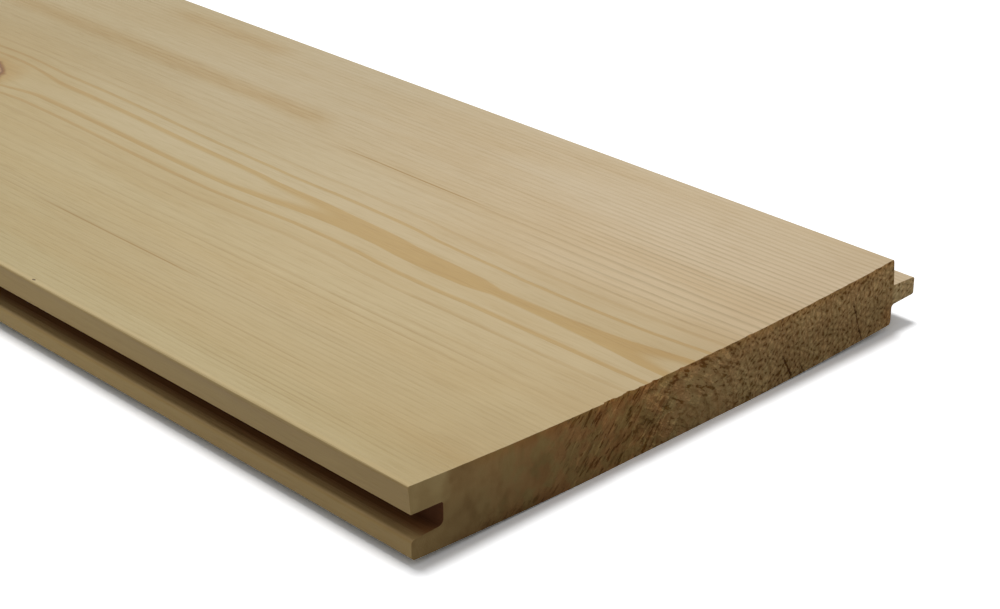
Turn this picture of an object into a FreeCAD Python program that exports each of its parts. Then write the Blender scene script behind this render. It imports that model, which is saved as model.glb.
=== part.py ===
import FreeCAD, Part
import os
import Sketcher

# Tongue and groove board, planed from softwood and cut to a stock length.
# Millimetres. X runs across the board from its grooved edge to its tongue, Y along it, Z up.
# The origin is on the floor, under the middle of the board.
# The board has cupped a little since it was planed: the upper side, its face, is hollow, and the
# board rests on the middle of its back, with both edges risen.

# The driving dimensions. The thickness is the one at the edges. Across the board, sizes are measured
# from the edge of the face, and down the board's edges from the level of the face's two edges.
SIZES = {
    "board_length": 1800,
    "board_thickness": 15,
    "face_width": 135,
    "face_hollow": 1.9,
    "back_crown": 1.65,
    "tongue_drop": 6.0,
    "tongue_thickness": 4.5,
    "tongue_taper": 0.3,
    "tongue_reach": 7.6,
    "face_shoulder_lean": 0.5,
    "back_shoulder_set": 0.2,
    "play_above_tongue": 0.2,
    "play_below_tongue": 0.5,
    "play_at_tip": 0.4,
    "back_joint_gap": 0.25,
    "face_arris_radius": 0.35,
    "back_arris_radius": 0.8,
    "tongue_tip_radius": 0.5,
    "tongue_root_radius": 0.8,
    "groove_upper_radius": 0.5,
    "groove_lower_radius": 1.2,
}

# The sides of the section and the corners that each runs between. The face and the back are arcs
# with their centres high above the middle of the face, drawn from the grooved edge to the tongue's.
SIDES = {
    "face": ("lip_arris", "shoulder_arris"),
    "face_shoulder": ("shoulder_arris", "upper_root"),
    "tongue_upper": ("upper_root", "upper_tip"),
    "tongue_tip": ("upper_tip", "lower_tip"),
    "tongue_lower": ("lower_tip", "lower_root"),
    "back_shoulder": ("lower_root", "back_shoulder_arris"),
    "back": ("back_lip_arris", "back_shoulder_arris"),
    "back_lip": ("back_lip_arris", "lower_mouth"),
    "groove_lower": ("lower_mouth", "lower_floor"),
    "groove_floor": ("lower_floor", "upper_floor"),
    "groove_upper": ("upper_floor", "upper_mouth"),
    "lip_face": ("upper_mouth", "lip_arris"),
}

FACE_RADIUS = "((dims.face_width / 2) ^ 2 + dims.face_hollow ^ 2) / (2 * dims.face_hollow)"
BACK_RADIUS = "((dims.face_width / 2) ^ 2 + dims.back_crown ^ 2) / (2 * dims.back_crown)"

# Lengths between two corners of the section: their axis, the lower or left corner, the other one,
# and what the length is
LENGTHS = {
    "face_width": ("X", "lip_arris", "shoulder_arris", "dims.face_width"),
    "shoulder_lean": ("X", "shoulder_arris", "upper_root", "dims.face_shoulder_lean"),
    "shoulder_set": ("X", "shoulder_arris", "lower_root", "dims.back_shoulder_set"),
    "tongue_reach": ("X", "shoulder_arris", "upper_tip", "dims.tongue_reach"),
    "tongue_drop": ("Y", "upper_root", "shoulder_arris", "dims.tongue_drop"),
    "tongue_thickness": ("Y", "lower_root", "upper_root", "dims.tongue_thickness"),
    "upper_taper": ("Y", "upper_tip", "upper_root", "dims.tongue_taper"),
    "lower_taper": ("Y", "lower_root", "lower_tip", "dims.tongue_taper"),
    "lip_thickness": (
        "Y",
        "upper_mouth",
        "lip_arris",
        "dims.tongue_drop - dims.play_above_tongue",
    ),
    "groove_drop": (
        "Y",
        "lower_mouth",
        "lip_arris",
        "dims.tongue_drop + dims.tongue_thickness + dims.play_below_tongue",
    ),
    "groove_depth": (
        "X",
        "lip_arris",
        "upper_floor",
        "dims.tongue_reach + dims.play_at_tip",
    ),
    "back_lip_set": (
        "X",
        "lip_arris",
        "lower_mouth",
        "dims.back_shoulder_set + dims.back_joint_gap",
    ),
}

# The rounds that the cutters leave along the board: the corners they run through, and their radius.
# The lower root's fillet and the round that clears it at the groove's mouth are one size.
ROUNDS = {
    "face_arrises": (("lip_arris", "shoulder_arris"), "face_arris_radius"),
    "back_arrises": (("back_lip_arris", "back_shoulder_arris"), "back_arris_radius"),
    "tongue_tip_edges": (("upper_tip", "lower_tip"), "tongue_tip_radius"),
    "tongue_root_and_mouth": (("lower_root", "lower_mouth"), "tongue_root_radius"),
    "groove_upper_corner": (("upper_floor",), "groove_upper_radius"),
    "groove_lower_corner": (("lower_floor",), "groove_lower_radius"),
}


def make_dims(doc):
    """The sheet of driving dimensions, with their names beside them and as aliases."""
    dims = doc.addObject("Spreadsheet::Sheet", "dims")
    for row, (name, value) in enumerate(SIZES.items(), start=1):
        dims.set(f"A{row}", name)
        dims.set(f"B{row}", str(value))
        dims.setAlias(f"B{row}", name)
    doc.recompute()
    return dims


def first_places(dims):
    """Where the corners are drawn, near enough for the constraints to settle them."""
    edge = dims.back_crown + dims.board_thickness
    top = edge - dims.tongue_drop
    under = top - dims.tongue_thickness
    tip = dims.face_width + dims.tongue_reach
    shoulder = dims.face_width + dims.back_shoulder_set
    lip = dims.back_shoulder_set + dims.back_joint_gap
    floor = dims.tongue_reach + dims.play_at_tip
    roof = top + dims.play_above_tongue
    sill = under - dims.play_below_tongue
    return {
        "lip_arris": (0, edge),
        "shoulder_arris": (dims.face_width, edge),
        "upper_root": (dims.face_width + dims.face_shoulder_lean, top),
        "upper_tip": (tip, top - dims.tongue_taper),
        "lower_tip": (tip, under + dims.tongue_taper),
        "lower_root": (shoulder, under),
        "back_shoulder_arris": (shoulder, dims.back_crown),
        "back_lip_arris": (lip, dims.back_crown),
        "lower_mouth": (lip, sill),
        "lower_floor": (floor, sill + dims.tongue_taper),
        "upper_floor": (floor, roof - dims.tongue_taper),
        "upper_mouth": (dims.face_shoulder_lean, roof),
    }


def draw_section(body, dims):
    """The sketch of the board's section, looking along the board, and where its corners are held.

    Returns the sketch and, for each corner, the side and the end of it that lie there.
    """
    sketch = body.newObject("Sketcher::SketchObject", "section")
    upright = next(plane for plane in body.Origin.OriginFeatures if plane.Role == "XZ_Plane")
    sketch.AttachmentSupport = [(upright, "")]
    sketch.MapMode = "FlatFace"
    sketch.setExpression("AttachmentOffset.Base.x", "-(dims.face_width + dims.tongue_reach) / 2")

    places = {corner: FreeCAD.Vector(*at, 0) for corner, at in first_places(dims).items()}
    face_middle = dims.back_crown + dims.board_thickness - dims.face_hollow
    middle = {
        "face": FreeCAD.Vector(dims.face_width / 2, face_middle, 0),
        "back": FreeCAD.Vector(dims.face_width / 2, 0, 0),
    }
    side, held = {}, {}
    for name, (begin, end) in SIDES.items():
        if name in middle:
            shape = Part.Arc(places[begin], middle[name], places[end])
        else:
            shape = Part.LineSegment(places[begin], places[end])
        side[name] = sketch.addGeometry(shape, False)
        for point, corner in enumerate((begin, end), start=1):
            if corner in held:
                sketch.addConstraint(
                    Sketcher.Constraint("Coincident", *held[corner], side[name], point)
                )
            else:
                held[corner] = (side[name], point)

    def rule(kind, *where):
        sketch.addConstraint(Sketcher.Constraint(kind, *where))

    def length(name, kind, where, expression):
        value = sketch.evalExpression(expression)
        index = sketch.addConstraint(Sketcher.Constraint(kind, *where, value))
        sketch.renameConstraint(index, name)
        sketch.setExpression(f"Constraints.{name}", expression)

    # The floor is the sketch's level axis (-1), and the upright one (-2) runs through the lip.
    rule("PointOnObject", *held["lip_arris"], -2)
    rule("Horizontal", *held["lip_arris"], *held["shoulder_arris"])
    rule("Vertical", side["face"], 3, side["back"], 3)
    rule("Tangent", side["back"], -1)
    for name in ("tongue_tip", "back_shoulder", "back_lip", "groove_floor"):
        rule("Vertical", side[name])
    rule("Parallel", side["lip_face"], side["face_shoulder"])
    rule("Parallel", side["groove_upper"], side["tongue_upper"])
    rule("Parallel", side["groove_lower"], side["tongue_lower"])
    length("face_radius", "Radius", (side["face"],), FACE_RADIUS)
    length("back_radius", "Radius", (side["back"],), BACK_RADIUS)
    at_lip = (-1, 1, *held["lip_arris"])
    length("edge_height", "DistanceY", at_lip, "dims.back_crown + dims.board_thickness")
    for name, (axis, near, far, expression) in LENGTHS.items():
        length(name, f"Distance{axis}", (*held[near], *held[far]), expression)
    return sketch, held


def edges_along(feature, places):
    """Names of the feature's edges that run along the board through these places."""
    named = []
    for number, edge in enumerate(feature.Shape.Edges, start=1):
        along = edge.tangentAt(edge.FirstParameter).isParallel(FreeCAD.Vector(0, 1, 0), 1e-6)
        if along and any(edge.distToShape(Part.Vertex(at))[0] < 1e-4 for at in places):
            named.append(f"Edge{number}")
    return named


def make_board(doc, dims):
    """The board: its moulded section, padded to the stock length, with the long edges eased."""
    body = doc.addObject("PartDesign::Body", "board")
    body.Label = "board"
    sketch, held = draw_section(body, dims)
    doc.recompute()

    stock = body.newObject("PartDesign::Pad", "moulded_stock")
    stock.Profile = sketch
    stock.SideType = "Symmetric"
    stock.setExpression("Length", "dims.board_length")
    doc.recompute()

    last = stock
    for name, (corners, radius) in ROUNDS.items():
        places = [sketch.Placement.multVec(sketch.getPoint(*held[corner])) for corner in corners]
        edges = edges_along(last, places)
        if len(edges) != len(corners):
            raise RuntimeError(f"{name}: {len(edges)} edges found for {len(corners)} corners")
        eased = body.newObject("PartDesign::Fillet", name)
        eased.Base = (last, edges)
        eased.setExpression("Radius", f"dims.{radius}")
        doc.recompute()
        last = eased
    return body


def check(doc, parts):
    """Stops with a plain message if any object failed or any solid isn't sound."""
    for item in doc.Objects:
        if "Invalid" in item.State or "Error" in item.State:
            raise RuntimeError(f"{item.Label} failed: {item.State}")
    for part in parts:
        if part.Shape.isNull() or not part.Shape.isValid() or len(part.Shape.Solids) != 1:
            raise RuntimeError(f"{part.Label} is not one sound solid")


doc = FreeCAD.newDocument("tongue_and_groove_board")
dims = make_dims(doc)
parts = [make_board(doc, dims)]
doc.recompute()
check(doc, parts)
os.makedirs("parts", exist_ok=True)
for part in parts:
    part.Shape.exportStep(f"parts/{part.Label}.step")
    box = part.Shape.BoundBox
    print(part.Label, f"{box.XLength:.3f} x {box.YLength:.3f} x {box.ZLength:.3f} mm")
    print(f"x {box.XMin:.3f} to {box.XMax:.3f}, z {box.ZMin:.3f} to {box.ZMax:.3f}")
    print(f"{part.Shape.Volume / 1e6:.4f} litres")
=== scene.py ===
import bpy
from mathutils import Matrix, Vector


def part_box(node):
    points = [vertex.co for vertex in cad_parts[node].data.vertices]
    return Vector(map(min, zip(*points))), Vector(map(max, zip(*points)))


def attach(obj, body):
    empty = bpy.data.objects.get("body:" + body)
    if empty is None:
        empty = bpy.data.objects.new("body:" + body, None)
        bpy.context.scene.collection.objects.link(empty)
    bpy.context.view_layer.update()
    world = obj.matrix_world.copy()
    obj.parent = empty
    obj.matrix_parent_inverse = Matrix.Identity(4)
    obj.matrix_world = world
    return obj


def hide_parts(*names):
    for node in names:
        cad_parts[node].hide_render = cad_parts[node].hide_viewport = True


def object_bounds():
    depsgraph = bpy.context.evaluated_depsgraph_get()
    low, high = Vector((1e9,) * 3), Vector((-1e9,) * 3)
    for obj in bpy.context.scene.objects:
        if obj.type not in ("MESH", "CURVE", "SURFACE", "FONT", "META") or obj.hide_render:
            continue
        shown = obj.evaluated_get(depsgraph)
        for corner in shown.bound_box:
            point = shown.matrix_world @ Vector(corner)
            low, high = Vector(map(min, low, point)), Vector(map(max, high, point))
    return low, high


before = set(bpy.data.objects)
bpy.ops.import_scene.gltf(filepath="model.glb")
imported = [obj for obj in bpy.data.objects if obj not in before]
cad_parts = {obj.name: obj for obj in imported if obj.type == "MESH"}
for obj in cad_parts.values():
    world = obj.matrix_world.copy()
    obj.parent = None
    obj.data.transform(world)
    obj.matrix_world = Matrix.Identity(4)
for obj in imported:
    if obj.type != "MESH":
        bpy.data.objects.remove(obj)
cad_low, cad_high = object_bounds()

from types import SimpleNamespace

import bpy
import numpy as np
from mathutils import Euler, Matrix

# The board: planed pine, moulded on all four sides by one pass of the cutters and cut square at
# both ends with a coarse saw. It has cupped a little: the face is hollow, and the board rests on
# the middle of its back. It is one piece of stock, so nothing is fixed to it.

# Its sizes in millimetres. Places across it are from the lip's arris, heights are from the floor,
# and in the mesh and on the floor the origin is under the middle of the stock.
LENGTH = 1800.0
FACE_WIDTH = 135.0
FACE_HOLLOW = 1.9
BACK_CROWN = 1.65
FACE_EDGE = 16.65
FACE_MIDDLE = FACE_EDGE - FACE_HOLLOW
LIP_AT = -71.3

# The section's corners, from the lip's arris round by the tongue: how far across, how high, and
# the radius that each is eased to
CORNERS = np.array(
    [
        (0.0, FACE_EDGE, 0.35),  # lip arris
        (FACE_WIDTH, FACE_EDGE, 0.35),  # shoulder arris
        (135.5, 10.65, 0.0),  # tongue root, upper
        (142.6, 10.35, 0.5),  # tongue tip, upper
        (142.6, 6.45, 0.5),  # tongue tip, lower
        (135.2, 6.15, 0.8),  # tongue root, lower
        (135.2, BACK_CROWN, 0.8),  # back arris under the tongue
        (0.45, BACK_CROWN, 0.8),  # back arris under the groove
        (0.45, 5.65, 0.8),  # groove mouth, lower
        (8.0, 5.956, 1.2),  # groove floor, lower
        (8.0, 10.532, 0.5),  # groove floor, upper
        (0.483, 10.85, 0.0),  # groove mouth, upper
    ]
)
ON_ARC, ON_SIDE = 9, 160  # points on each corner's arc, and between it and the next one's


def cupped(points):
    """The outline's points, with the face and the back lowered in the middle by the cup's depth.

    The drop is the cup's depth times one less the square of the place across, from -1 to 1.
    Points over 16 mm high are the face's, and points under 2.5 mm the back's. The lip and the
    middle of the back stop at the sides of the stock's box.
    """
    across = 2 * points[:, 0] / FACE_WIDTH - 1
    depth = FACE_HOLLOW * (points[:, 1] > 16) + BACK_CROWN * (points[:, 1] < 2.5)
    drop = depth * np.clip(1 - across**2, 0, None)
    lip, back, face = 1000 * cad_low[0] - LIP_AT, 1000 * cad_low[2], 1000 * cad_high[2]
    return np.column_stack((points[:, 0].clip(lip), (points[:, 1] - drop).clip(back, face)))


def eased_outline(corners):
    """The section's closed outline, with an arc at each corner and points along each side.

    An arc touches both sides of its corner, so it starts the radius times the cotangent of half
    the corner's angle away from it. Its points turn evenly from one side's direction to the next.
    """
    place, radius = corners[:, :2], corners[:, 2:]
    ahead = np.roll(place, -1, axis=0) - place
    ahead /= np.linalg.norm(ahead, axis=1, keepdims=True)
    behind = np.roll(ahead, 1, axis=0)
    turn = np.arctan2(
        behind[:, 0] * ahead[:, 1] - behind[:, 1] * ahead[:, 0], (behind * ahead).sum(axis=1)
    )
    start = place - behind * radius * np.tan(np.abs(turn[:, None]) / 2)
    inward = np.sign(turn)[:, None] * np.column_stack((-behind[:, 1], behind[:, 0]))
    swing = turn[:, None] * np.linspace(0, 1, ON_ARC)
    along = np.sin(np.abs(swing))[..., None] * behind[:, None]
    aside = (1 - np.cos(swing))[..., None] * inward[:, None]
    arcs = start[:, None] + radius[:, None] * (along + aside)
    step = np.linspace(0, 1, ON_SIDE + 2)[1:-1, None]
    sides = arcs[:, None, -1] * (1 - step) + np.roll(arcs[:, None, 0], -1, axis=0) * step
    return cupped(np.concatenate((arcs, sides), axis=1).reshape(-1, 2))


# The outline's places: the middle, start and end of each corner's arc, and where the face and
# the back pass the groove's floor
outline = eased_outline(CORNERS)
start = np.arange(len(CORNERS)) * (ON_ARC + ON_SIDE)
middle = start + ON_ARC // 2
end = start + ON_ARC - 1
over_floor = end[0] + 1 + np.argmin(np.abs(outline[end[0] + 1 : start[1], 0] - 7.5))
under_floor = end[6] + 1 + np.argmin(np.abs(outline[end[6] + 1 : start[7], 0] - 6.8))


def spread(points, count):
    """A line's points, set anew in so many steps, evenly by its length plus its turning.

    A radian of turning counts as 1.2 mm, so that the small rounds get points too.
    """
    step = np.diff(points, axis=0)
    length = np.hypot(step[:, 0], step[:, 1])
    step, length = step[length > 1e-9], length[length > 1e-9]
    points = np.vstack((points[:1], points[0] + np.cumsum(step, axis=0)))
    course = np.unwrap(np.arctan2(step[:, 1], step[:, 0]))
    bend = np.abs(np.diff(course, prepend=course[0]))
    at = np.concatenate(([0], np.cumsum(length + 1.2 * bend)))
    wanted = np.linspace(0, at[-1], count + 1)
    return np.column_stack([np.interp(wanted, at, points[:, axis]) for axis in (0, 1)])


def run(first, last, count):
    """The outline from one place on to a later one, in so many steps."""
    places = np.arange(first, last + 1 if last >= first else last + 1 + len(outline))
    return spread(outline[places % len(outline)], count)


def straight(first, last, count):
    """A straight line through the wood between two places on the outline."""
    step = np.linspace(0, 1, count + 1)[:, None]
    return outline[first] * (1 - step) + outline[last] * step


def sheet(bottom, top, left, right):
    """A sheet of points between four edges that share their corners.

    It is the blend from bottom to top plus the blend from left to right, less the blend of the
    four corners, which both of them hold (a Coons patch).
    """
    u = np.linspace(0, 1, len(bottom))[:, None, None]
    v = np.linspace(0, 1, len(left))[None, :, None]
    upward = (1 - v) * bottom[:, None] + v * top[:, None]
    across = (1 - u) * left[None] + u * right[None]
    low = (1 - u) * bottom[0] + u * bottom[-1]
    high = (1 - u) * top[0] + u * top[-1]
    return upward + across - (1 - v) * low - v * high


# The edges of each part of the cut end: the lips each side of the groove, the body between the
# groove's floor and the shoulders, and the tongue. A step is about 0.35 mm.
ACROSS_LIP, ACROSS_BODY, ACROSS_TONGUE = 24, 356, 24
UP_SHOULDER, UP_TONGUE, UP_BACK_LIP, UP_GROOVE = 18, 13, 12, 19
lip_top = run(middle[0], over_floor, ACROSS_LIP)
body_top = run(over_floor, middle[1], ACROSS_BODY)
shoulder = run(middle[1], end[2], UP_SHOULDER)
tongue_top = run(end[2], middle[3], ACROSS_TONGUE)
tongue_tip = run(middle[3], middle[4], UP_TONGUE)
tongue_under = run(middle[4], start[5], ACROSS_TONGUE)
back_shoulder = run(start[5], middle[6], UP_SHOULDER)
body_under = run(middle[6], under_floor, ACROSS_BODY)
lip_under = run(under_floor, middle[7], ACROSS_LIP)
back_lip = run(middle[7], middle[8], UP_BACK_LIP)
groove_under = run(middle[8], start[9], ACROSS_LIP)
groove_floor = run(start[9], end[10], UP_GROOVE)
groove_top = run(end[10], start[11], ACROSS_LIP)
lip_face = run(start[11], middle[0], UP_SHOULDER)
under_groove = straight(under_floor, start[9], UP_BACK_LIP)
over_groove = straight(end[10], over_floor, UP_SHOULDER)
tongue_root = straight(start[5], end[2], UP_TONGUE)

body_left = np.vstack((under_groove, groove_floor[1:], over_groove[1:]))
body_right = np.vstack((back_shoulder[::-1], tongue_root[1:], shoulder[::-1][1:]))
END_SHEETS = [
    sheet(lip_under[::-1], groove_under, back_lip, under_groove),
    sheet(groove_top[::-1], lip_top, lip_face, over_groove),
    sheet(body_under[::-1], body_top, body_left, body_right),
    sheet(tongue_under[::-1], tongue_top, tongue_root, tongue_tip[::-1]),
]

# The strips that run the whole length, each with the heights it has on the map: the face, the
# tongue's side, the back and the groove's side
LONG_STRIPS = [
    (0.005, 0.375, (lip_top, body_top)),
    (0.385, 0.455, (shoulder, tongue_top, tongue_tip, tongue_under, back_shoulder)),
    (0.465, 0.80, (body_under, lip_under)),
    (0.81, 0.895, (back_lip, groove_under, groove_floor, groove_top, lip_face)),
]


def worn(u, v, seed):
    """Smooth random heights from 0 to 1: one for each whole u and v, blended in between."""
    table = np.random.default_rng(seed).random((64, 64))
    iu, iv = np.floor(u).astype(int), np.floor(v).astype(int)
    fu, fv = u - iu, v - iv
    fu, fv = fu * fu * (3 - 2 * fu), fv * fv * (3 - 2 * fv)
    low = table[iu % 64, iv % 64] * (1 - fu) + table[(iu + 1) % 64, iv % 64] * fu
    high = table[iu % 64, (iv + 1) % 64] * (1 - fu) + table[(iu + 1) % 64, (iv + 1) % 64] * fu
    return low * (1 - fv) + high * fv


# Where the pith meets the ends
PITH_AT, PITH_HEIGHT = 68.6, -0.25


def torn_depth(section, seed):
    """How deep the saw has torn the end, in millimetres, at each point of the section.

    Small pits lie along the growth rings, so they are noise of the distance from the pith and of
    the way round it. They fade towards the grooved edge, where the cut is clean, and within
    0.9 mm of the outline. Over the pith the face's arris has lost splinters: noise of the way
    across alone, up to 0.9 mm deep at the face and gone 0.8 mm below it.
    """
    x, height = section[..., 0], section[..., 1]
    out = np.hypot(x - PITH_AT, height - PITH_HEIGHT)
    round_pith = np.arctan2(height - PITH_HEIGHT, x - PITH_AT)
    bow = 1 - np.clip(2 * x / FACE_WIDTH - 1, -1, 1) ** 2
    below_face = FACE_EDGE - FACE_HOLLOW * bow - height
    over_back = height - BACK_CROWN * (1 - bow)
    inside = np.clip(np.minimum(below_face, over_back) / 0.9, 0, 1)
    inside = inside * np.clip((134.6 - x) / 0.9, 0, 1)
    pits = worn(out * 1.25, round_pith * np.clip(out, 6, None) * 0.42, seed)
    grit = worn(x * 1.9, height * 1.9, seed + 1)
    torn = 0.5 * np.clip(pits * 0.7 + grit * 0.5 - 0.45, 0, None)
    torn = torn * inside * np.clip((x - 30) / 25, 0.1, 1)
    lost = worn(x * 0.55, x * 0, seed + 2) + 0.4 * worn(x * 1.9, x * 0, seed + 3)
    lost = np.clip(lost - 0.65, 0, 1) * np.clip(1 - below_face / 0.8, 0, 1) ** 2
    over_pith = np.clip((x - 36) / 8, 0.12, 1) * np.clip((80 - x) / 12, 0.3, 1)
    return torn + 0.9 * lost * over_pith


class Pieces:
    """Sheets of points gathered into one mesh, with a place on the map for every point."""

    def __init__(self):
        self.points, self.places, self.faces, self.finish = [], [], [], []
        self.count = 0

    def add(self, grid, places, finish):
        """Adds a grid of points as squares, each from a point to the next ones along and up."""
        long, wide = grid.shape[:2]
        index = self.count + np.arange(long * wide).reshape(long, wide)
        square = np.stack((index[:-1, :-1], index[1:, :-1], index[1:, 1:], index[:-1, 1:]), axis=-1)
        self.points.append(grid.reshape(-1, 3))
        self.places.append(places.reshape(-1, 2))
        self.faces.append(square.reshape(-1, 4))
        self.finish.append(np.full(len(square.reshape(-1, 4)), finish))
        self.count += long * wide

    def mesh(self, name):
        """The mesh in metres, with points that lie within a hundred-thousandth of a mm made one."""
        points = np.concatenate(self.points)
        faces = np.concatenate(self.faces)
        _, first, same = np.unique(
            np.round(points, 5), axis=0, return_index=True, return_inverse=True
        )
        made = bpy.data.meshes.new(name)
        welded = same.reshape(-1)[faces]
        made.from_pydata((points[first] / 1000).tolist(), [], welded.tolist())
        made.polygons.foreach_set("material_index", np.concatenate(self.finish))
        map_layer = made.uv_layers.new(name="OFBake")
        map_layer.data.foreach_set("uv", np.concatenate(self.places)[faces].ravel())
        made.polygons.foreach_set("use_smooth", np.ones(len(faces), bool))
        made.validate()
        made.set_sharp_from_angle(angle=0.7)
        return made


# The mesh: rows of points closer and closer together towards the ends, each end torn in its own
# way, and a map with the long strips below and the two ends side by side above them
PLANED, SAWN = 0, 1
NEAR_TEAR, FAR_TEAR = 3, 23
FROM_END = np.array([0, 1, 2, 4, 8, 16, 32, 64, 110, 180, 280, 400, 550, 720, 900])
along = np.concatenate((FROM_END - LENGTH / 2, LENGTH / 2 - FROM_END[-2::-1]))
pieces = Pieces()
for map_low, map_high, parts in LONG_STRIPS:
    strip = np.vstack([parts[0]] + [part[1:] for part in parts[1:]])
    x, y = np.meshgrid(strip[:, 0] + LIP_AT, along)
    y[0] += torn_depth(strip, NEAR_TEAR)
    y[-1] -= torn_depth(strip, FAR_TEAR)
    z = np.tile(strip[:, 1], (len(along), 1))
    step = np.hypot(*np.diff(strip, axis=0).T)
    share = np.concatenate(([0], np.cumsum(step))) / step.sum()
    map_along = 0.004 + 0.992 * (along / LENGTH + 0.5)
    v, u = np.meshgrid(map_low + share * (map_high - map_low), map_along)
    pieces.add(np.dstack((x, y, z)), np.dstack((u, v)), PLANED)
for section in END_SHEETS:
    x, z = section[..., 0], section[..., 1]
    v = 0.905 + z * 0.0053
    near = np.dstack((x + LIP_AT, torn_depth(section, NEAR_TEAR) - LENGTH / 2, z))
    pieces.add(near, np.dstack((0.004 + x * 0.0034, v)), SAWN)
    far = np.dstack((x + LIP_AT, LENGTH / 2 - torn_depth(section, FAR_TEAR), z))
    pieces.add(far[::-1], np.dstack((0.504 + x * 0.0034, v))[::-1], SAWN)
board = bpy.data.objects.new("board_moulding", pieces.mesh("board_moulding"))
bpy.context.scene.collection.objects.link(board)


class Wire:
    """A socket of a material's node tree. Arithmetic on wires and numbers adds Math nodes."""

    def __init__(self, tree, socket=None):
        self.tree, self.socket = tree, socket

    def node(self, kind, settings=None, inlets=None, outlet=0):
        """Adds a node of this kind, sets its settings and then its sockets, and gives an outlet.

        Inlets go by their identifier or number, and outlets by their name or number. A colour is
        red, green and blue. The setting points holds a curve's points.
        """
        made = self.tree.nodes.new("ShaderNode" + kind)
        for name, setting in (settings or {}).items():
            if name != "points":
                setattr(made, name, setting)
                continue
            line = made.mapping.curves[0]
            for number, at in enumerate(setting):
                if number < 2:
                    line.points[number].location = at
                else:
                    line.points.new(*at)
            for point in line.points:
                point.handle_type = "AUTO_CLAMPED"
            made.mapping.update()
        by_name = {socket.identifier: socket for socket in made.inputs}
        for name, value in (inlets or {}).items():
            socket = made.inputs[name] if isinstance(name, int) else by_name[name]
            if isinstance(value, Wire):
                self.tree.links.new(value.socket, socket)
            elif socket.type == "RGBA":
                socket.default_value = (*value, 1)
            else:
                socket.default_value = value
        return None if outlet is None else Wire(self.tree, made.outputs[outlet])

    def maths(self, operation, *others):
        """A Math node with this wire as its first value."""
        return self.node("Math", {"operation": operation}, dict(enumerate((self, *others))))

    def __add__(self, other):
        return self.maths("ADD", other)

    def __sub__(self, other):
        return self.maths("SUBTRACT", other)

    def __rsub__(self, other):
        return self.node("Math", {"operation": "SUBTRACT"}, {0: other, 1: self})

    def __mul__(self, other):
        return self.maths("MULTIPLY", other)

    def __truediv__(self, other):
        return self.maths("DIVIDE", other)

    def __pow__(self, other):
        return self.maths("POWER", other)

    __radd__, __rmul__ = __add__, __mul__

    def unsigned(self):
        """The value without its sign."""
        return self.maths("ABSOLUTE")

    def larger(self, other):
        """The larger of two values."""
        return self.maths("MAXIMUM", other)

    def past(self, low, high):
        """0 at or below low, 1 at or above high, and a smooth step from one to the other."""
        settings = {"interpolation_type": "SMOOTHSTEP"}
        return self.node("MapRange", settings, {"Value": self, "From Min": low, "From Max": high})

    def before(self, low, high):
        """1 at or below low, 0 at or above high, and a smooth step from one to the other."""
        return 1 - self.past(low, high)

    def within(self, low, rise, fall, high):
        """1 between rise and fall, 0 outside low and high, and smooth steps in between."""
        return self.past(low, rise) * self.before(fall, high)

    def curve(self, points):
        """The height of a smooth curve through these points, above this place from 0 to 1."""
        top = max(height for _, height in points)
        settings = {"points": [(at, height / top) for at, height in points]}
        return self.node("FloatCurve", settings, {"Value": self}) * top

    def noise(self, scale, detail, stretch, seed):
        """Noise from 0 to 1: so many waves to the millimetre, drawn out so far along each axis."""
        places = {"Vector": self, "Scale": [1 / part for part in stretch]}
        inlets = {"Vector": self.node("Mapping", {}, places), "W": seed}
        inlets |= {"Scale": scale, "Detail": detail, "Roughness": 0.55}
        return self.node("TexNoise", {"noise_dimensions": "4D"}, inlets)

    def mix(self, first, second):
        """The first colour where this wire is 0 and the second where it is 1."""
        inlets = {"Factor_Float": self, "A_Color": first, "B_Color": second}
        return self.node("Mix", {"data_type": "RGBA"}, inlets, outlet=2)

    def tinted(self, tint, amount):
        """This colour multiplied by a tint, by a given share."""
        settings = {"data_type": "RGBA", "blend_type": "MULTIPLY"}
        inlets = {"Factor_Float": amount, "A_Color": self, "B_Color": tint}
        return self.node("Mix", settings, inlets, outlet=2)


# The run of the pith along the board, as (share of the length, millimetres): how much deeper than
# its least depth it lies under the middle of the face, and how much further than its least
# distance from the lip
LEAST_DEPTH, LEAST_ASIDE = 13, 64.5
PITH_DEPTH = [
    (0, 1.2), (0.004, 1.42), (0.008, 1.66), (0.014, 1.8), (0.020, 1.86), (0.0265, 1.88),
    (0.031, 1.7), (0.038, 1.62), (0.048, 1.60), (0.055, 1.57), (0.060, 1.44), (0.065, 1.32),
    (0.07, 1.2), (0.078, 0.98), (0.118, 0.95), (0.17, 1.4), (0.22, 2.0), (0.29, 0.3),
    (0.38, 0.05), (0.5, 0.9), (0.6, 2.3), (0.7, 2.0), (0.82, 0.7), (1, 0.2),
]
PITH_ASIDE = [
    (0, 4.4), (0.029, 2.9), (0.043, 3.4), (0.056, 4.4), (0.073, 3.3), (0.12, 5.1), (0.3, 2),
    (0.5, 6), (0.75, 0.5), (1, 5),
]

# How many years had grown at a distance from the pith, as (share of 80 mm, share of 50 years)
STEM_RADIUS, STEM_YEARS = 80, 50
YEARS_GROWN = [
    (0, 0), (0.1875, 0.1), (0.215, 0.12), (0.255, 0.14), (0.3325, 0.2), (0.395, 0.24),
    (0.439, 0.28), (0.5125, 0.36), (0.651, 0.5), (0.779, 0.64), (1, 0.9),
]

# Knots: how far from the lip and from the near end, and their radius at the face
KNOTS = [
    (64, 241.5, 7.5), (89, 655, 7), (40, 690, 3.5), (71, 1130, 9), (28, 1495, 4), (102, 1512, 6),
]


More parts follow.
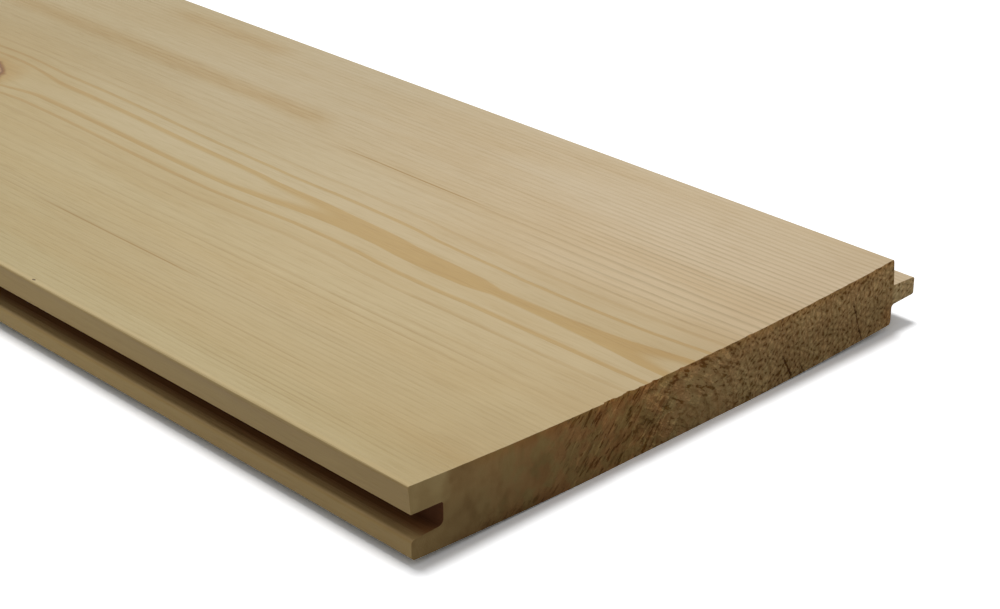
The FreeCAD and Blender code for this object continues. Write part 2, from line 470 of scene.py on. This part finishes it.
def solid_wood(name):
    """A new material with the growth rings of the whole stem in it, so that all sides agree.

    Gives the wires that the planed sides and the sawn ends share: the place in millimetres, x
    from the lip's arris, y from the near end and z from the floor; out, the distance from the
    pith; ring, the number of the ring; year, how far through its year's growth the wood is; and
    to_knot, the distance from the nearest knot's middle, which is 1 at its rim.

    The pith runs along the board close under its back. It wanders sideways, and it comes nearer
    the face and goes down again as the stem bends, which draws the long loops on the face. The
    rings bulge round each knot, which narrows downwards as a branch does. A year's growth is
    wide near the pith and narrow outside.
    """
    material = bpy.data.materials.new(name)
    material.use_nodes = True
    material.node_tree.nodes.clear()
    tree = Wire(material.node_tree)
    in_millimetres = {"Location": (-LIP_AT, LENGTH / 2, 0), "Scale": (1000, 1000, 1000)}
    in_metres = {"Vector": tree.node("TexCoord", outlet="Object")}
    place = tree.node("Mapping", {}, in_metres | in_millimetres)
    x, y, z = (place.node("SeparateXYZ", {}, {"Vector": place}, axis) for axis in "XYZ")
    along = y / LENGTH
    near_pith = (x - 68).unsigned().before(8, 30)
    wander = along.curve(PITH_ASIDE) + (LEAST_ASIDE - FACE_WIDTH / 2)
    aside = x - FACE_WIDTH / 2 - wander * near_pith
    above = z - FACE_MIDDLE + (along.curve(PITH_DEPTH) + LEAST_DEPTH)
    out = (aside * aside + above * above) ** 0.5
    uneven = (place.noise(0.13, 2, (1, 1, 1), 21) - 0.5) * 0.7
    to_knot = 9
    for knot_x, knot_y, size in KNOTS:
        away = ((x - knot_x) ** 2 + ((y - knot_y) * 0.8) ** 2) ** 0.5 / (size * (z + 2) / 17)
        out = out - away.before(0.5, 3.2) * size * 0.21
        to_knot = (away + uneven).maths("MINIMUM", to_knot)
    out = out + (place.noise(0.16, 2, (1, 18, 1), 8) - 0.5) * out.past(15, 30) * 0.5
    years = (out / STEM_RADIUS).curve(YEARS_GROWN) * STEM_YEARS
    return SimpleNamespace(
        material=material,
        place=place,
        axes=(x, y, z),
        out=out,
        ring=years.maths("FLOOR"),
        year=years.maths("FRACT"),
        to_knot=to_knot,
    )


def surface(wood, colour, roughness, height, specular):
    """Ends the material: a plain shader with this colour, roughness, relief and bare gloss."""
    bump = colour.node("Bump", {}, {"Height": height, "Strength": 0.6, "Distance": 0.001})
    inlets = {"Base Color": colour, "Roughness": roughness, "Normal": bump}
    shader = colour.node("BsdfPrincipled", {}, inlets | {"Specular IOR Level": specular})
    colour.node("OutputMaterial", {}, {"Surface": shader}, outlet=None)
    board.data.materials.append(wood.material)


# The planed sides: pale earlywood with darker, more orange latewood lines, fine fibres along the
# board and a few resin streaks. It is yellower towards the grooved edge and pinker towards the
# tongue, with cloudy patches.
wood = solid_wood("planed_pine")
place, (x, y, z) = wood.place, wood.axes
YELLOW_PINE, PINK_PINE = (0.505, 0.393, 0.197), (0.573, 0.460, 0.297)
cloud = place.noise(0.05, 3, (1, 9, 1), 4)
pinker = (x + (place.noise(0.02, 2, (1, 7, 1), 2) - 0.5) * 70).past(0, 125)
colour = pinker.mix(YELLOW_PINE, PINK_PINE)
colour = colour.tinted((0.93, 0.875, 0.775), cloud.past(0.45, 0.7))
colour = colour.tinted((1.04, 1.04, 1.06), cloud.before(0.3, 0.45))

# Latewood: from part way through each year's growth until its end, where it stops at once.
# Every sixth or seventh year it is stronger. Near the pith the cut runs almost along the ring,
# and it shows as a broad orange band. Towards the tongue the near end has narrow, even, greyer
# rings. Elsewhere the lines come and go, and are fainter from 35 to 420 mm along.
near_half = y.before(270, 420)
even = x.past(76, 88) * (1 - x.past(110, 134) * 0.6) * y.before(30, 95)
heart = wood.out.before(15.2, 24)
begins = 0.72 - wood.out.past(15, 40) * 0.24 - even * 0.08
begins = begins - (x - 69).unsigned().past(6, 9) * heart * 0.12
late = ((wood.year - begins) / (0.96 - begins) * (1 + heart)).past(0, 1)
late = late * wood.year.before(0.965, 1.0)
by_chance = place.node("TexWhiteNoise", {"noise_dimensions": "1D"}, {"W": wood.ring + 0.5})
strong = 0.45 + by_chance * 0.35 + ((wood.ring - 11) * 0.967).maths("COSINE") * 0.28
clear = place.noise(0.012, 2, (1, 5, 1), 9).past(0.3, 0.6) * 0.5 + 0.5
clear = clear * (1 - y.past(35, 130) * near_half * 0.5)
clear = clear * (1 - y.before(5, 55) * x.before(35, 62) * 0.7)
clear = clear * (place.noise(0.22, 2, (1, 12, 1), 17).past(0.36, 0.62) * 0.6 + 0.3)
lines = late * (strong * clear).larger(heart).larger(even * (by_chance * 0.45 + 0.6))
line_tint = heart.mix(even.mix((0.77, 0.69, 0.55), (0.76, 0.75, 0.68)), (0.88, 0.76, 0.51))
colour = colour.tinted(line_tint, lines).tinted((1.045, 1.03, 1.045), even)

# Fibres: fine flecks a few millimetres long, lighter and darker than the wood between them
fibres = place.noise(1.8, 3, (1, 15, 1), 6)
colour = colour.tinted((0.91, 0.885, 0.83), fibres.past(0.48, 0.72) * 0.8)
colour = colour.tinted((1.05, 1.055, 1.07), fibres.before(0.28, 0.45))


def streaks(lines):
    """The sum of wavering lines along the board, each 1 on the line and 0 beside it.

    Each is given by its distance from the lip, the places where it starts and ends, its half
    width and its strength.
    """
    waver = (place.noise(0.03, 1, (1, 2, 1), 7) - 0.5) * 1.6
    total = 0
    for at, first, last, width, strength in lines:
        ends = y.within(first, first + 15, last - 20, last)
        total = total + ((x - at + waver) / width).unsigned().before(0, 1) * ends * strength
    return total


# Resin: a few thin dark streaks, and broad brown ones that the fibres show through
resin = streaks(
    [
        (96.3, 78, 140, 0.4, 1),
        (27.2, 92, 162, 0.38, 0.9),
        (112, 820, 930, 0.5, 0.8),
        (47, 1240, 1330, 0.4, 1),
    ]
)
brown = streaks(
    [
        (127.5, 185, 250, 5.5, 1),
        (104.5, 140, 320, 6, 1),
        (36, 10, 400, 9, 0.4),
        (22, 520, 900, 8, 0.7),
        (96, 900, 1300, 10, 0.8),
        (48, 1350, 1790, 9, 0.6),
    ]
)
colour = colour.tinted((0.66, 0.52, 0.28), resin * (1 - fibres.past(0.5, 0.75) * 0.6))
colour = colour.tinted((0.90, 0.82, 0.68), brown * (0.4 + fibres))

# Knots: redder wood with its own fine rings, dark in the middle and at the rim, in a halo of
# wood that is yellow with resin
to_knot = wood.to_knot
knot_rings = (to_knot * 38 + fibres * 4).maths("SINE") * 0.25 + 0.25 + to_knot.past(0.1, 0.7) * 0.5
knot_wood = knot_rings.mix((0.25, 0.135, 0.065), (0.46, 0.295, 0.170))
colour = colour.tinted((0.93, 0.83, 0.66), to_knot.before(1.0, 1.9))
colour = to_knot.before(0.92, 1.0).mix(colour, knot_wood)
colour = colour.tinted((0.62, 0.47, 0.35), to_knot.within(0.78, 0.94, 0.97, 1.12))

# Broad shades: the face darkens a little towards the sawn end. Along its near half it is painted
# darker from 70 mm on, more from 160 to 260 mm, and back to plain between 270 and 420 mm, as shade
# where the light falls off away from the near end. It has a few long greyer or browner strips. The
# last one is a small nick in the lip's arris, painted as a dark spot for the shade in it.
on_face = x.past(0.6, 1.5)
# Painted shade: the dark spot of a small nick in the lip's arris
nick_shade = (((x - 0.9) / 0.35) ** 2 + ((y - 116.5) / 0.6) ** 2).before(0.5, 1) * z.past(15.8, 16.2)
SHADES = [
    # Painted shade: the light's fall-off away from the near end, in two steps
    ((0.925, 0.93, 0.90), y.past(70, 160) * on_face * near_half),
    ((0.905, 0.885, 0.80), y.past(160, 260) * on_face * near_half),
    ((0.97, 0.955, 0.93), y.before(15, 60)),
    ((0.955, 0.94, 0.925), y.before(4, 18)),
    ((0.96, 0.955, 0.935), x.within(62, 72, 82, 92) * y.before(30, 60)),
    ((0.955, 0.945, 0.93), x.within(8, 15, 28, 36) * near_half),
    ((0.95, 0.97, 0.99), x.within(0.6, 1.5, 8, 15) * near_half),
    ((0.95, 0.935, 0.90), x.within(84, 92, 102, 110) * y.past(175, 210) * near_half),
    ((0.965, 0.965, 0.955), x.past(70, 85) * y.past(125, 160) * near_half),
    ((0.24, 0.18, 0.12), nick_shade),
]
for tint, share in SHADES:
    colour = colour.tinted(tint, share)

# The grooved edge is painted darker and browner than the face, as the shade on that side, and a
# little paler from 40 to 110 mm along its near half, as more light there. The groove is painted
# darker and redder the deeper in it is, as the shade inside it, most at its floor.
lit_and_shaded_edge = x.before(0.55, 0.9) * z.before(16.35, 16.55)
before_floor = x.before(8.1, 8.3)
# Painted shade: the groove's inside, warmer from its mouth and darkest towards its floor
groove_mouth_shade = x.past(0.2, 0.9) * before_floor * z.within(4.9, 5.9, 10.9, 11.3)
groove_shade = x.past(0.8, 4.5) * before_floor * z.within(5.2, 5.9, 10.9, 11.3)
PAINTED_EDGE_SHADE = [
    # Painted shade: the grooved edge darker and browner
    ((0.81, 0.71, 0.51), lit_and_shaded_edge),
    # Painted light: the grooved edge paler further along
    ((1.14, 1.15, 1.12), lit_and_shaded_edge * y.past(40, 110) * near_half),
    # Painted shade inside the groove, stronger deeper in
    ((1.0, 0.86, 0.72), groove_mouth_shade),
    ((0.40, 0.24, 0.13), groove_shade),
    ((0.55, 0.45, 0.40), groove_shade * x.past(4.5, 7.5)),
]
for tint, share in PAINTED_EDGE_SHADE:
    colour = colour.tinted(tint, share)
roughness = 0.55 - lines * 0.1 + groove_shade * 0.3
surface(wood, colour, roughness, fibres * 0.12 + late * 0.08, specular=0.3)

# The sawn ends: the same rings end on, much darker: partly because the cut pores drink the light,
# and partly painted shade. The saw has torn the wood along slanting scores between the groove and
# the pith, and pitted it beyond. The grooved edge is cut clean.
wood = solid_wood("sawn_end")
place, (x, y, z) = wood.place, wood.axes
# Partly the end grain's own darkness and partly painted shade
BY_GROOVE = (0.2751, 0.1814, 0.072)
BY_PITH = (0.2961, 0.1728, 0.0624)
BY_TONGUE = (0.358, 0.2295, 0.0978)
colour = x.past(28, 48).mix(BY_GROOVE, BY_PITH)
colour = x.past(54, 72).mix(colour, BY_TONGUE)

# Its patches: blotches where it soaks up more, redder and greener ones, streaks upwards in the
# clean part, and warmer wood close under the face. It is paler at the top and darkest at the foot.
blotch = place.noise(0.16, 2, (1, 1, 1), 3)
redder = place.noise(0.3, 2, (1, 1, 1), 19).past(0.40, 0.60)
red_or_green = redder.mix((0.97, 1.02, 0.95), (1.08, 0.95, 0.90))
upward = place.noise(0.34, 2, (1, 1, 1.7), 22)
grain = place.noise(2.2, 2, (1, 1, 1), 14)
across = x / (FACE_WIDTH / 2) - 1
under_face = across * across * FACE_HOLLOW + FACE_MIDDLE - z
late = wood.year.within(0.55, 0.95, 0.96, 1.0)
END_SHADES = [
    ((0.84, 0.80, 0.76), blotch.past(0.4, 0.65)),
    (red_or_green, x.past(10, 34) * (1 - x.past(60, 85) * 0.7)),
    ((0.87, 0.84, 0.80), upward.past(0.45, 0.65) * x.within(6, 12, 26, 40)),
    ((1.07, 0.98, 0.86), under_face.before(0.4, 2.4) * x.past(12, 20)),
    ((1.22, 1.18, 1.17), z.past(6.5, 13.5)),
    ((0.80, 0.71, 0.64), z.before(0.6, 3.2) * x.within(6, 14, 30, 45)),
    ((1.08, 1.12, 1.14), x.past(34, 52)),
    ((0.80, 0.75, 0.68), late * x.past(30, 70)),
    ((0.93, 0.925, 0.94), x.within(34, 40, 48, 54)),
]
for tint, share in END_SHADES:
    colour = colour.tinted(tint, share)


def scores(slant, width, length, seed):
    """Noise drawn out along scores that slant this far from upright, in degrees."""
    turned = place.node("Mapping", {}, {"Vector": place, "Rotation": (0, np.radians(slant), 0)})
    return turned.noise(1 / width, 2, (1, 1, length), seed)


def waves(across, width, seed):
    """Tooth marks from -1 to 1: a wavering sine of the distance across them, this wide each."""
    waver = (place.noise(0.33, 1, (1, 1, 1), seed) - 0.5) * 17
    return (across * (6.28 / width) + waver).maths("SINE")


# The marks of the saw: slanting tears before the pith and along the foot, pits at the pith, and
# beyond it the crossing marks of two sets of teeth. Close beside the pith the foot is smooth. Their
# dark parts are partly the torn wood's colour and partly painted shade in the tears and pits, and
# their pale parts partly paler fibres and partly painted light on the raised flanks.
left = x.within(30, 42, 60, 74)
middle = x.within(52, 64, 76, 96)
right = x.past(72, 92)
foot = x.past(10, 20) * z.before(1.5, 5.5) * 0.7
rough = (x.past(28, 46) * 0.92 + 0.08).larger(foot)
smooth = x.within(66, 72, 80, 87) * z.before(3.5, 7.5)
teeth = waves((x - z) * 0.71, 1.3, 12) * 0.6 + waves(x * 0.5 + z * 0.86, 1.55, 16) * 0.6
teeth = teeth + (grain - 0.5) * 1.4 + (place.noise(0.6, 2, (1, 1, 1), 18) - 0.5) * 3.2
strokes = scores(-43, 1.1, 4.5, 11)
tears = scores(-46, 0.75, 4, 13)
pits = scores(62, 0.85, 2.6, 15)
dark_marks_and_shade = (tears.past(0.55, 0.63) + strokes.past(0.54, 0.64) * 0.5) * left.larger(foot)
dark_marks_and_shade = dark_marks_and_shade + pits.past(0.54, 0.64) * middle + teeth.past(0.5, 1.3) * 0.9 * right
dark_marks_and_shade = dark_marks_and_shade * rough * (1 - smooth * 0.6) * (1 - x.within(50, 54, 64, 70) * 0.2)
light = strokes.before(0.34, 0.46) * left * 0.7 + pits.before(0.34, 0.45) * middle
light = light + teeth.before(-1.5, 0) * 0.75 * right
light = light * rough * (1 - smooth * 0.8)
# Painted shade in the marks and painted light on their flanks, each partly the wood's own colour
colour = colour.tinted((0.47, 0.36, 0.17), dark_marks_and_shade)
colour = colour.tinted((1.62, 1.66, 1.76), light)
colour = colour.tinted((0.84, 0.80, 0.76), grain.past(0.42, 0.68) * rough)


def check(from_x, from_z, to_x, to_z, width):
    """1 in a drying check that runs from one place on the end to another and tapers out."""
    reach = (z - from_z) / (to_z - from_z)
    aside = (x - from_x - reach * (to_x - from_x) + (grain - 0.5) * 0.8) / width
    return aside.unsigned().before(0.3, 1) * reach.within(0.0, 0.35, 1.0, 1.1)


# Drying checks, other ones in the far end than in the near one. They are painted dark, as the shade
# inside them.
near_checks = check(99.4, 7.4, 102.6, 1.4, 0.42) + check(121.3, 13.2, 125.3, 2.0, 0.22) * 0.8
near_checks = near_checks + check(105.2, 3.4, 107.2, -0.2, 0.3) * 0.8
far_checks = check(88.5, 8.5, 85.8, 15.5, 0.4) + check(110.2, 6.5, 113.5, 13.0, 0.3)
far_end = y.past(800, 1000)
crack_shade = far_end * far_checks + (1 - far_end) * near_checks
# Painted shade inside the drying checks
colour = colour.tinted((0.28, 0.17, 0.05), crack_shade)

# The lips' ends are paler and less yellow. The tongue's end is painted much paler and bluer, as
# light on it. Below the tongue's root it is redder.
LIP_SHADES = [
    ((1.30, 1.46, 1.62), (x + (blotch - 0.5) * 6).before(7.5, 11) * z.past(9.8, 10.8)),
    ((1.14, 1.16, 1.18), x.before(6, 12) * z.before(4.5, 6.5)),
    # Painted light: the tongue's end, paler and bluer
    ((1.54, 1.74, 2.05), x.past(135, 136.5)),
    ((1.02, 0.90, 0.80), x.within(130, 134.5, 135, 136) * z.before(3, 9)),
]
for tint, share in LIP_SHADES:
    colour = colour.tinted(tint, share)
height = (1 - dark_marks_and_shade) * 0.5 + light * 0.3 - crack_shade + grain * 0.15
surface(wood, colour, 0.85, height, specular=0.1)

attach(board, "root")
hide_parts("board")

# The floor: a plain pale sheet that the board lies on. The camera sees it white, and the board
# is lit by it as by pale grey card.
CARD_REACH = 6.0
card_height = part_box("board")[0].z - 0.00002
card_corners = [(-1, -1), (1, -1), (1, 1), (-1, 1)]
floor = bpy.data.meshes.new("floor")
floor.from_pydata(
    [(CARD_REACH * side, CARD_REACH * along, card_height) for side, along in card_corners],
    [],
    [(0, 1, 2, 3)],
)
floor_piece = bpy.data.objects.new("floor", floor)
bpy.context.scene.collection.objects.link(floor_piece)
card = bpy.data.materials.new("pale_card")
card.use_nodes = True
card.node_tree.nodes.clear()


def seen_straight(tree):
    """1 for what the camera sees itself, or in or through something, and 0 for other light."""
    kinds = ("Camera", "Glossy", "Transmission")
    rays = [tree.node("LightPath", outlet=f"Is {kind} Ray") for kind in kinds]
    return rays[0].larger(rays[1]).larger(rays[2])


SEEN_CARD, LIT_CARD = (1.32, 1.335, 1.355), (0.35, 0.35, 0.35)
card_tree = Wire(card.node_tree)
card_colour = seen_straight(card_tree).mix(LIT_CARD, SEEN_CARD)
matt = card_tree.node("BsdfDiffuse", {}, {"Color": card_colour})
card_tree.node("OutputMaterial", {}, {"Surface": matt}, outlet=None)
floor.materials.append(card)

# The light: a pale room all round, and one large soft light high overhead. It leans a little
# from the far end and from the tongue's side, so the shadow falls before the near end and
# beside the grooved edge.
ROOM_LIGHT = 0.39
world = bpy.data.worlds.new("pale_room")
bpy.context.scene.world = world
world.use_nodes = True
world.node_tree.nodes.clear()
sky = Wire(world.node_tree)
room_strength = ROOM_LIGHT + (1 - ROOM_LIGHT) * seen_straight(sky)
sky_light = sky.node("Background", {}, {"Color": (1, 1, 1), "Strength": room_strength})
sky.node("OutputWorld", {}, {"Surface": sky_light}, outlet=None)

lamp = bpy.data.lights.new("overhead_light", "SUN")
lamp.angle = np.radians(14)
lamp.energy = 1.8
lamp_piece = bpy.data.objects.new("overhead_light", lamp)
lamp_piece.rotation_euler = np.radians((-10.5, 2, 0))
bpy.context.scene.collection.objects.link(lamp_piece)

# The camera: low beside the near end, looking along the board with a long lens.
YAW, PITCH, ROLL = np.radians((43.523, 25.448, -0.2523))
STANDS_AT = (-0.28729, -1.15040, 0.20816)
camera = bpy.data.cameras.new("camera")
camera.lens = 80.449
camera.sensor_width = 36
camera.clip_start = 0.05
camera.clip_end = 50
view = bpy.data.objects.new("camera", camera)
turned = Euler((np.pi / 2 - PITCH, 0, -YAW)).to_matrix() @ Matrix.Rotation(ROLL, 3, "Z")
view.matrix_world = Matrix.Translation(STANDS_AT) @ turned.to_4x4()
bpy.context.scene.collection.objects.link(view)
bpy.context.scene.camera = view
bpy.context.scene.view_settings.view_transform = "Standard"
